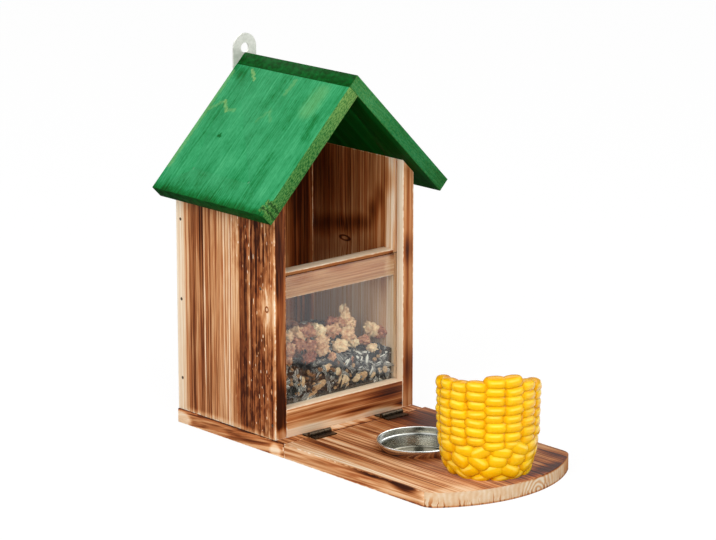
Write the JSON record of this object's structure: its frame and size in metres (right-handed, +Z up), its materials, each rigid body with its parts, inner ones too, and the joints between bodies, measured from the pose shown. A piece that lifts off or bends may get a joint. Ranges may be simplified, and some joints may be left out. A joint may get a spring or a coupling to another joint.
{
  "type": "squirrel feeder box",
  "caption": "Small gabled wooden box that feeds squirrels: seed bin behind a clear window, hinged landing board with a steel bowl and a corn spike, and a steel eye to hang it by.",
  "frame": {"origin": "middle of the underside of the whole part, on the surface that it stands on", "axes": "+Z up, +Y from the landing board's front edge towards the back, +X to the right of someone who faces the feeder"},
  "size_m": [0.1664, 0.2802, 0.2668],
  "materials": {
    "charred_pine": "flamed pine with dark soft-grain streaks, sealed, satin",
    "green_stained_pine": "green wood stain, satin, milky on the upper faces",
    "clear_acrylic": "clear glossy acrylic sheet",
    "stainless_steel": "spun and polished",
    "bronzed_steel": "dark bronzed",
    "galvanised_steel": "zinc plated",
    "dull_steel": "dull, heat darkened",
    "sweetcorn": "moist glossy kernels",
    "sunflower_seed": "dark striped seed hulls with pale nut pieces",
    "walnut": "pale wrinkled kernels with brown skins"
  },
  "bodies": {
    "feeder_box": {"base_board": "charred_pine", "left_side_panel": "charred_pine", "right_side_panel": "charred_pine", "back_panel": "charred_pine", "lower_front_rail": "charred_pine", "upper_front_rail": "charred_pine", "left_roof_panel": "green_stained_pine", "right_roof_panel": "green_stained_pine", "hanger_strap": "galvanised_steel", "hanger_screws": "galvanised_steel", "side_brads": "dull_steel", "rail_brads": "dull_steel", "base_brads": "dull_steel", "roof_brads": "dull_steel", "base_hinge_screws": "bronzed_steel", "left_hinge_rear_leaf": "bronzed_steel", "right_hinge_rear_leaf": "bronzed_steel", "left_hinge_pin": "bronzed_steel", "right_hinge_pin": "bronzed_steel", "seed_mix": "sunflower_seed", "walnut_kernels": "walnut"},
    "landing": {"landing_board": "charred_pine", "board_hinge_screws": "bronzed_steel", "left_hinge_front_leaf": "bronzed_steel", "right_hinge_front_leaf": "bronzed_steel", "corn_spike": "galvanised_steel"},
    "bowl": {"feeding_bowl": "stainless_steel"},
    "cob": {"corn_cob": "sweetcorn"},
    "window": {"window_pane": "clear_acrylic"}
  },
  "joints": [
    {"name": "landing_fold", "type": "hinge", "parent": "feeder_box", "child": "landing", "pos_m": [0.0015, 0.02435, 0.0117], "axis": [-1, 0, 0], "range_deg": [0, 60]},
    {"name": "window_lift", "type": "slide", "parent": "feeder_box", "child": "window", "axis": [0, 0, 1], "range_m": [0, 0.06]},
    {"name": "bowl_lift", "type": "slide", "parent": "landing", "child": "bowl", "axis": [0, 0, 1], "range_m": [0, 0.02]},
    {"name": "cob_spin", "type": "hinge", "parent": "landing", "child": "cob", "pos_m": [0.0015, -0.10465, 0.0103], "axis": [0, 0, 1], "continuous": true}
  ]
}
